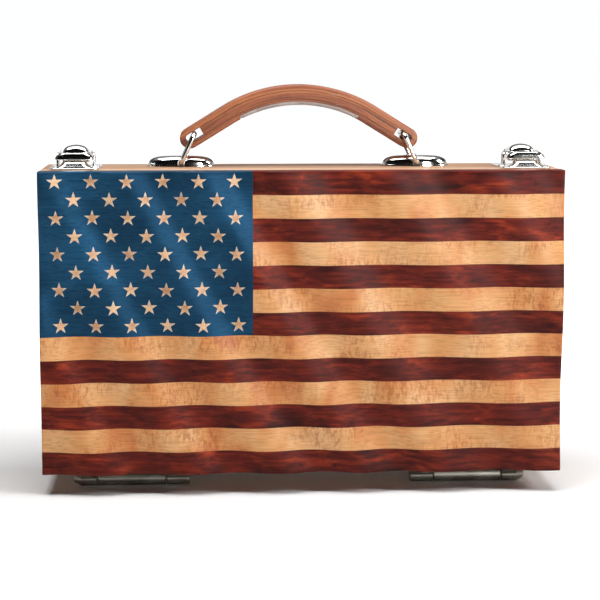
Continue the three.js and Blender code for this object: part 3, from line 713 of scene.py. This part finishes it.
screw_well = 3.6 * MM
bumper_taper = 2 * MM
tread_rounding = 1.5 * MM
for side in ("left", "right"):
    low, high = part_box(f"rear_bumper_{side}")
    centre = ((low.x + high.x) / 2, (low.y + high.y) / 2, 0.0)
    root = (high.x - low.x) / 2
    tread = root - bumper_taper
    profile = [(4 * MM, 0.0), (4 * MM, screw_well), (0.6 * MM, screw_well), (low.z, screw_well + 0.5 * MM)]
    for back, out in arc((0.0, 0.0), tread_rounding, 0, 1, 5):
        profile.append((low.z + tread_rounding - back, tread - tread_rounding + out))
    profile += [(high.z - 1.2 * MM, root - 0.4 * MM), (high.z, root), (high.z, 0.0)]
    build(f"bumper_{side}", turned(profile, centre, "Z", 40), "base", moulded_rubber,
          [f"rear_bumper_{side}"], sharp=40)
    build(f"bumper_screw_{side}", screw_head(centre[0], centre[1], 3.4 * MM, -1, 3.3 * MM), "base",
          satin_nickel, sharp=30)

# ------------------------------------------------------------------ draw latches
# Two bright nickel-plated draw latches across the seam. Each has a catch plate with a ridge on the lid,
# and on the base a plate with two ears, a domed lever on a pin, and a hook on the lever's own pin.
polished_nickel, tree = start_material("polished_nickel_plate")
place = add(tree, "ShaderNodeTexCoord", {}, {}).outputs["Object"]
# buffing haze in patches of 8 mm, and hairlines drawn 0.5 mm wide so that they show
haze = add(tree, "ShaderNodeTexNoise", {}, {"Vector": place, "Scale": 125.0, "Detail": 3.0})
hairs = add(tree, "ShaderNodeTexNoise", {}, {
    "Vector": place, "Scale": 2000.0, "Detail": 2.0, "Distortion": 1.5})
plate_tint = add(tree, "ShaderNodeValToRGB", {"stops": [
    (0.35, "#e2e0da"), (0.65, "#f0efec")]}, {"Fac": haze})
gloss = add(tree, "ShaderNodeMapRange", {}, {"Value": haze, "To Min": 0.07, "To Max": 0.15})
relief = add(tree, "ShaderNodeBump", {}, {"Strength": 0.015, "Distance": 0.02 * MM, "Height": hairs})
finish_material(tree, {"Base Color": plate_tint, "Metallic": 1.0, "Roughness": gloss, "Normal": relief})

plate_thickness = 1.5 * MM
latch_corner = 5 * MM
ear_radius = 4 * MM
ear_thickness = 2 * MM
latch_gap = 0.5 * MM
arm_thickness = 2 * MM
hump_half = 15.5 * MM
ear_foot = 6 * MM
latch_screw_radius = 1.9 * MM
latch_screw_out = 17.9 * MM
base_screw_places = (6 * MM, 28 * MM)
cap_crown = 3.2 * MM
cap_softness = 0.35
cap_end_shrink = 0.22


def domed(outline, low_x, high_x, crown, softness, slices=17):
    """A side outline carried across in X, highest in the middle, with its two ends rounded over."""
    centre_y = sum(y for y, _ in outline) / len(outline)
    floor_z = min(z for _, z in outline)
    top_z = max(z for _, z in outline)
    rows = []
    for i in range(slices):
        share = -math.cos(math.pi * i / (slices - 1))
        inset = max(0.0, abs(share) - (1 - softness)) / softness
        shrink = 1 - cap_end_shrink * (1 - math.sqrt(1 - inset * inset))
        x = (low_x + high_x) / 2 + share * (high_x - low_x) / 2
        row = []
        for y, z in outline:
            rise = (z - floor_z) / (top_z - floor_z)
            lifted = z - crown * share * share * rise
            row.append((x, centre_y + (y - centre_y) * shrink, floor_z + (lifted - floor_z) * shrink))
        rows.append(row)
    return loft(rows, False)


def curve(start, pull, end, steps=8):
    """Points on a curve from start to end that is pulled towards a third point, without its start."""
    points = []
    for i in range(1, steps + 1):
        t = i / steps
        weights = ((1 - t) ** 2, 2 * t * (1 - t), t * t)
        points.append(tuple(sum(w * p[j] for w, p in zip(weights, (start, pull, end))) for j in (0, 1)))
    return points


def loft(rows, closed):
    """Points and faces through rows of points. The rows close on each other, or their ends are capped."""
    count = len(rows[0])
    points = [point for row in rows for point in row]
    faces = []
    for i in range(len(rows) if closed else len(rows) - 1):
        here = i * count
        there = (i + 1) % len(rows) * count
        for j in range(count):
            after = (j + 1) % count
            faces.append((here + j, here + after, there + after, there + j))
    if not closed:
        faces.append(tuple(range(count)))
        faces.append(tuple(range(len(points) - count, len(points))))
    return points, faces


def pressed_shell(low, high, levels):
    """A pressed form with round corners. Each level is a height and the shares of its width and depth."""
    middle_x = (low[0] + high[0]) / 2
    middle_y = (low[1] + high[1]) / 2
    rows = []
    for z, wide, deep in levels:
        half_x = (high[0] - low[0]) / 2 * wide
        half_y = (high[1] - low[1]) / 2 * deep
        corners = ((middle_x - half_x, middle_y - half_y), (middle_x + half_x, middle_y + half_y))
        rows.append([(x, y, z) for x, y in rounded_outline(*corners, min(latch_corner, half_y * 0.95))])
    return loft(rows, False)


def flat_pair(outline, middle, inner, thickness):
    """Two flat parts, one each side of a middle in X, from an inner distance outwards."""
    flats = []
    for facing in (-1, 1):
        low, high = sorted((middle + facing * inner, middle + facing * (inner + thickness)))
        flats.append(extruded(outline, "X", low, high))
    return flats


for side in ("left", "right"):
    pivot_low, pivot_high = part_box(f"latch_pivot_pin_{side}")
    link_low, link_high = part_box(f"latch_link_pin_{side}")
    lever_low, lever_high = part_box(f"latch_lever_{side}")
    hook_low, hook_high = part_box(f"latch_hook_{side}")
    catch_low, catch_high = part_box(f"latch_catch_{side}")
    base_low, base_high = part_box(f"latch_base_{side}")
    middle = (lever_low.x + lever_high.x) / 2
    pivot = (pivot_low + pivot_high) / 2
    link = (link_low + link_high) / 2
    lever_body = f"latch_lever_{side}"
    hook_body = f"latch_hook_{side}"

    # the catch: a flat plate under a pressed ridge
    catch_middle = (catch_low.y + catch_high.y) / 2
    plate_top = catch_low.z + plate_thickness
    catch_outline = rounded_outline(catch_low[:2], catch_high[:2], latch_corner)
    catch_plate = extruded(catch_outline, "Z", catch_low.z, plate_top)
    hump_low = (middle - hump_half, catch_low.y + 1 * MM)
    hump_high = (middle + hump_half, catch_high.y - 1 * MM)
    hump = pressed_shell(hump_low, hump_high, [
        (plate_top - 0.5 * MM, 1.0, 1.0), (plate_top + 0.4 * MM, 0.96, 0.95),
        (plate_top + 1.4 * MM, 0.84, 0.86), (plate_top + 2.8 * MM, 0.72, 0.74),
        (plate_top + 4.4 * MM, 0.66, 0.62), (catch_high.z - 0.5 * MM, 0.63, 0.52),
        (catch_high.z, 0.6, 0.44)])
    build(f"catch_plate_{side}", together(catch_plate, hump), "lid", polished_nickel,
          [f"latch_catch_{side}"], rounding=0.6 * MM, steps=4)

    # the base plate with its two ears
    base_plate = extruded(rounded_outline(base_low[:2], base_high[:2], latch_corner), "Z", base_low.z,
                          base_low.z + plate_thickness)
    ear_low = base_low.z + plate_thickness / 2
    ear = [(pivot.y - ear_foot, ear_low), (pivot.y + ear_foot, ear_low)]
    ear += arc((pivot.y, pivot.z), ear_radius, 0, 2, 12)
    arm_inner = (lever_high.x - lever_low.x) / 2 + latch_gap
    ears = flat_pair(ear, middle, arm_inner + arm_thickness + latch_gap, ear_thickness)
    build(f"latch_plate_{side}", together(base_plate, *ears), "base", polished_nickel,
          [f"latch_base_{side}"], rounding=0.6 * MM, steps=4)

    # the two pins, whose ends are headed over
    pin_reach = (pivot_high.x - pivot_low.x) / 2
    pin = [(-pin_reach, 0.0), (-pin_reach, 1.2 * MM), (0.7 * MM - pin_reach, 1.9 * MM),
           (1.0 * MM - pin_reach, 1.5 * MM)]
    pin += [(-along, radius) for along, radius in reversed(pin)]
    build(f"latch_pivot_{side}", turned(pin, pivot, "X"), "base", polished_nickel,
          [f"latch_pivot_pin_{side}"], sharp=40)
    link_reach = (link_high.x - link_low.x) / 2
    link_pin = [(-link_reach, 0.0), (-link_reach, 1.3 * MM), (0.5 * MM - link_reach, 1.9 * MM),
                (1.1 * MM - link_reach, 1.9 * MM), (1.4 * MM - link_reach, 1.2 * MM)]
    link_pin += [(-along, radius) for along, radius in reversed(link_pin)]
    build(f"latch_link_{side}", turned(link_pin, link, "X"), lever_body, polished_nickel,
          [f"latch_link_pin_{side}"], sharp=40)

    # the lever: its side outline goes from the heel under the pin to the tail and back over the crest
    nose = (lever_low.y, pivot.z + 3 * MM)
    crest = (lever_low.y + 8 * MM, lever_high.z)
    tail = (lever_high.y, pivot.z + 0.5 * MM)
    heel = (pivot.y - 1 * MM, lever_low.z)
    lever = [heel, (pivot.y + 3 * MM, lever_low.z), (pivot.y + 11 * MM, pivot.z - 1.5 * MM)]
    lever += [(tail[0] - 1 * MM, pivot.z - 2 * MM), tail]
    lever += curve(tail, (lever_low.y + 21 * MM, crest[1] - 0.5 * MM), crest)
    lever += curve(crest, (nose[0], crest[1]), nose)
    lever += curve(nose, (nose[0], lever_low.z + 1 * MM), heel, 6)[:-1]
    cap = domed(lever, lever_low.x, lever_high.x, cap_crown, cap_softness)
    build(f"lever_cap_{side}", cap, lever_body, polished_nickel, [lever_body], sharp=50)

    # the hook: a pressed bridge over the catch on two flat arms with round eyes
    arm_half = 1.5 * MM
    arm_eye = arm_half + 0.7 * MM
    bridge_back = catch_high.y - 0.3 * MM
    bridge_low = (hook_low.x + 1 * MM, hook_low.y)
    bridge_high = (hook_high.x - 1 * MM, bridge_back)
    arm_low = link.z - arm_half
    bridge = pressed_shell(bridge_low, bridge_high, [
        (hook_low.z, 1.0, 1.0), (hook_low.z + 0.6 * MM, 1.01, 1.0), (arm_low + 0.2 * MM, 0.93, 0.96),
        (arm_low + 1.2 * MM, 0.84, 0.9), (arm_low + 2.2 * MM, 0.79, 0.84),
        (arm_low + 2.7 * MM, 0.74, 0.72)])
    arm = [(bridge_back - 2 * MM, arm_low), (link.y, arm_low)]
    arm += arc((link.y, link.z), arm_eye, -1, 1, 8)
    arm += [(link.y, link.z + arm_half), (bridge_back - 2 * MM, link.z + arm_half)]
    arms = flat_pair(arm, middle, arm_inner, arm_thickness)
    build(f"hook_{side}", together(bridge, *arms), hook_body, polished_nickel, [hook_body],
          rounding=0.5 * MM)

    # the screws at the plates' sides: two in the catch and four in the base plate
    base_places = [base_low.y + back for back in base_screw_places]
    for name, body, places in (("catch", "lid", [catch_middle]), ("latch", "base", base_places)):
        screws = []
        for x in (middle - latch_screw_out, middle + latch_screw_out):
            screws += [screw_head(x, y, plate_top + screw_proud, 1, latch_screw_radius) for y in places]
        build(f"{name}_screws_{side}", together(*screws), body, polished_nickel, sharp=30)

# ------------------------------------------------------------------ handle
# A bent-wood grip: one strap of steam-bent wood wraps round both ends of a glued core and leaves a slot
# at each end for the wire loops. A thin strip of pale leather lines its underside for the fingers.
bent_wood, tree = start_material("oiled_bent_wood")
# dark growth lines 1.6 mm apart that run the whole length, and warm bands 5 mm wide
lines = wood_figure(tree, 110, 1.6, 3.0, 0.2)
bands = wood_figure(tree, 140, 5, 2.0, 0.3)
pores = wood_figure(tree, 7, 0.7, 2.0, 0.0)
orange = add(tree, "ShaderNodeValToRGB", {"stops": [
    (0.3, "#94502c"), (0.5, "#ae643a"), (0.68, "#c07848")]}, {"Fac": bands})
grained = darkened(tree, orange, lines, [(0.34, "#6e5244"), (0.47, "#dcccc0"), (0.6, "#ffffff")], 0.75)
pored = darkened(tree, grained, pores, [(0.32, "#8a6a58"), (0.45, "#ffffff")], 0.4)
relief = add(tree, "ShaderNodeBump", {}, {"Strength": 0.25, "Distance": 0.15 * MM, "Height": pores})
finish_material(tree, {
    "Base Color": pored, "Roughness": 0.46, "IOR": 1.5, "Normal": relief,
    "Coat Weight": 0.12, "Coat Roughness": 0.3})

pale_leather, tree = start_material("pale_leather")
place = add(tree, "ShaderNodeTexCoord", {}, {}).outputs["Object"]
# leather grain cells 0.9 mm across
cells = add(tree, "ShaderNodeTexVoronoi", {"feature": "DISTANCE_TO_EDGE"}, {
    "Vector": place, "Scale": 1100.0})
wear = add(tree, "ShaderNodeTexNoise", {}, {"Vector": place, "Scale": 90.0, "Detail": 3.0})
hide = add(tree, "ShaderNodeValToRGB", {"stops": [(0.35, "#a3958f"), (0.65, "#c0b3ad")]}, {"Fac": wear})
creases = darkened(tree, hide, cells, [(0.0, "#8a8078"), (0.12, "#ffffff")], 0.5)
relief = add(tree, "ShaderNodeBump", {}, {"Strength": 0.4, "Distance": 0.15 * MM, "Height": cells})
finish_material(tree, {"Base Color": creases, "Roughness": 0.62, "IOR": 1.45, "Normal": relief})

strap_low, strap_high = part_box("handle_strap")
handle_y = (strap_low.y + strap_high.y) / 2
grip_half_width = (strap_high.y - strap_low.y) / 2
grip_half = 8.5 * MM
strap_thickness = 5 * MM
pad_thickness = 3 * MM
slot_length = 15 * MM
bend_radius = 113.5 * MM
bend_angle = math.radians(31.6)
tail_length = 37 * MM
pad_margin = 8 * MM
glue_line = 0.1 * MM
strap_edge = 2.0 * MM
pad_bed_edge = 0.8 * MM
bend_centre = strap_high.z - grip_half - bend_radius
bend_length = bend_radius * bend_angle
grip_end = bend_length + tail_length
slot_half = grip_half - strap_thickness
pad_end = bend_length - pad_margin


def grip_point(along, off):
    """A place in X and Z at a distance along the grip's middle line and a height off it."""
    bend = max(-bend_length, min(bend_length, along))
    angle = bend / bend_radius
    rest = along - bend
    reach = bend_radius + off
    x = reach * math.sin(angle) + rest * math.cos(angle)
    return x, bend_centre + reach * math.cos(angle) - rest * math.sin(angle)


def grip_grain(co):
    """Grain that follows the bend: distance along it, distance across, and height off its middle line."""
    angle = math.atan2(co.x, co.z - bend_centre)
    if abs(angle) <= bend_angle:
        return (bend_radius * angle, co.y + 0.7, math.hypot(co.x, co.z - bend_centre) - bend_radius)
    turn = math.copysign(bend_angle, angle)
    along = co.x * math.cos(turn) - (co.z - bend_centre) * math.sin(turn)
    off = co.x * math.sin(turn) + (co.z - bend_centre) * math.cos(turn) - bend_radius
    return (math.copysign(bend_length, angle) + along, co.y + 0.7, off)


def rounded_section(inner, outer, edge, steps):
    """A section as depths and heights, from an inner height to an outer one with two rounded edges."""
    half = grip_half_width
    section = [(-half, inner), (half, inner)]
    section += arc((half - edge, outer - edge), edge, 0, 1, steps)
    return section + arc((edge - half, outer - edge), edge, 1, 2, steps)


def across_grip(along, section, turn=0.0):
    """A section set across the grip at a distance along it. Turned by pi it lies below the middle line."""
    row = []
    for y, off in section:
        x, z = grip_point(along + off * math.sin(turn), off * math.cos(turn))
        row.append((x, handle_y + y, z))
    return row


limb_steps = 60
end_steps = 16
pad_steps = 44
thinned_half = pad_end - 0.2 * MM
places = [grip_end - (grip_end - pad_end) * i / 18 for i in range(19)]
thinned = [thinned_half - 2 * thinned_half * i / pad_steps for i in range(pad_steps + 1)]
# the strap's middle line: over the top, round the right end, back below and round the left end
stations = [(-grip_end + 2 * grip_end * i / limb_steps, 0.0, grip_half) for i in range(limb_steps + 1)]
stations += [(grip_end, math.pi * step / end_steps, grip_half) for step in range(1, end_steps)]
stations += [(along, math.pi, grip_half) for along in places]
stations += [(along, math.pi, grip_half - pad_thickness) for along in thinned]
stations += [(-along, math.pi, grip_half) for along in reversed(places)]
stations += [(-grip_end, -math.pi * step / end_steps, grip_half) for step in range(end_steps - 1, 0, -1)]
rows = []
for along, turn, outer in stations:
    edge = strap_edge if outer == grip_half else pad_bed_edge
    rows.append(across_grip(along, rounded_section(slot_half, outer, edge, 5), turn))
build("grip_strap", loft(rows, True), "handle", bent_wood, ["handle_strap"], grip_grain,
      sharp=40)

core_end = grip_end + slot_half - slot_length
core_half = slot_half - glue_line
core_edge = 0.3 * MM
half = grip_half_width
section = [(core_edge - half, -core_half), (half - core_edge, -core_half),
           (half, core_edge - core_half), (half, core_half - core_edge)]
section += [(-y, -off) for y, off in section]
rows = [across_grip(core_end * (i / 20 - 1), section) for i in range(41)]
build("grip_core", loft(rows, False), "handle", bent_wood, ["handle_core"], grip_grain,
      sharp=30)

pad_edge = 1.4 * MM
pad_end_thinning = 0.8 * MM
rows = []
for i in range(pad_steps + 1):
    share = 2 * i / pad_steps - 1
    outer = grip_half - (pad_end_thinning if abs(share) > 0.99 else 0.0)
    section = rounded_section(grip_half - pad_thickness + glue_line, outer, pad_edge, 4)
    rows.append(across_grip((pad_end - 0.3 * MM) * share, section, math.pi))
build("grip_pad", loft(rows, False), "handle", pale_leather, ["handle_pad"], sharp=40)

# ------------------------------------------------------------------ wire loops
# A closed rectangle of bright nickel-plated wire at each end of the handle, bent with round corners and
# butt-welded. Its lower bar turns in the plate's tunnel and its upper bar hangs in the handle's slot.
wire_radius = 2.1 * MM
slot_gap = 0.2 * MM
loop_corner = 5 * MM
loop_lean = math.radians(65)
loop_rise = 3.3 * MM

for side, outward in (("left", -1), ("right", 1)):
    loop_low, loop_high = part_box(f"handle_loop_{side}")
    plate_low, plate_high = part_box(f"handle_plate_{side}")
    foot = Vector(((plate_low.x + plate_high.x) / 2, handle_y, case_top + loop_rise))
    tail_x, tail_z = grip_point(bend_length, 0.0)
    foot_off = (abs(foot.x) - tail_x) * math.sin(bend_angle) + (foot.z - tail_z) * math.cos(bend_angle)
    loop_length = (slot_half - wire_radius - slot_gap - foot_off) / math.sin(loop_lean - bend_angle)
    lean = Vector((-outward * math.cos(loop_lean), 0.0, math.sin(loop_lean)))
    across = Vector((0.0, 1.0, 0.0))
    normal = across.cross(lean)
    half = (loop_high.y - loop_low.y) / 2 - wire_radius
    rows = []
    for index, (facing, top) in enumerate(((1, 0), (1, 1), (-1, 1), (-1, 0))):
        centre = foot + across * facing * (half - loop_corner)
        centre += lean * (loop_length - loop_corner if top else loop_corner)
        for step in range(9):
            angle = math.pi / 2 * (index - 1 + step / 8)
            outwards = across * math.cos(angle) + lean * math.sin(angle)
            spot = centre + outwards * loop_corner
            ring = []
            for k in range(16):
                turn = 2 * math.pi * k / 16
                ring.append(spot + wire_radius * (outwards * math.cos(turn) + normal * math.sin(turn)))
            rows.append(ring)
    build(f"wire_loop_{side}", loft(rows, True), f"handle_loop_{side}", polished_nickel,
          [f"handle_loop_{side}"], sharp=60)

# ------------------------------------------------------------------ handle plates
# An oval domed plate of bright nickel-plated steel under each end of the handle, pressed with a narrow
# flat rim. A tunnel across its middle holds the loop's lower bar.
rim_height = 1.2 * MM
tunnel_radius = wire_radius + 0.75 * MM
oval_sides = 72
dome_share = 0.96
dome_fullness = 0.45

for side in ("left", "right"):
    low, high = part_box(f"handle_plate_{side}")
    centre = (low + high) / 2
    half_x = (high.x - low.x) / 2
    half_y = (high.y - low.y) / 2
    profile = [(0.0, 0.0), (0.0, 1.0), (rim_height * 0.7, 1.0), (rim_height, 0.985)]
    dome = high.z - low.z - rim_height
    for step in range(15):
        angle = math.pi / 2 * step / 14
        profile.append((rim_height + dome * math.sin(angle), dome_share * math.cos(angle) ** dome_fullness))
    rows = []
    for rise, reach in profile:
        row = []
        for k in range(oval_sides):
            angle = 2 * math.pi * k / oval_sides
            x = centre.x + half_x * reach * math.cos(angle)
            row.append((x, centre.y + half_y * reach * math.sin(angle), low.z + rise))
        rows.append(row)
    plate = build(f"oval_plate_{side}", loft(rows, False), "base", polished_nickel,
                  [f"handle_plate_{side}"], sharp=40)
    # the tunnel is cut right through the dome
    bore = [(-tunnel_radius, low.z - 1 * MM), (tunnel_radius, low.z - 1 * MM)]
    bore += arc((0.0, case_top + loop_rise), tunnel_radius, 0, 2, 16)
    bore_ends = [[(centre.x + x, y, z) for x, z in bore] for y in (low.y - 2 * MM, high.y + 2 * MM)]
    bore_points, bore_faces = loft(bore_ends, False)
    cutter_mesh = bpy.data.meshes.new("tunnel")
    cutter_mesh.from_pydata(bore_points, [], bore_faces)
    cutter = bpy.data.objects.new("tunnel", cutter_mesh)
    bpy.context.scene.collection.objects.link(cutter)
    tunnel = plate.modifiers.new("tunnel", "BOOLEAN")
    tunnel.operation = "DIFFERENCE"
    tunnel.object = cutter
    bpy.context.view_layer.update()
    bored = bpy.data.meshes.new_from_object(plate.evaluated_get(bpy.context.evaluated_depsgraph_get()))
    plate.modifiers.clear()
    plate.data = bored
    bpy.data.objects.remove(cutter)
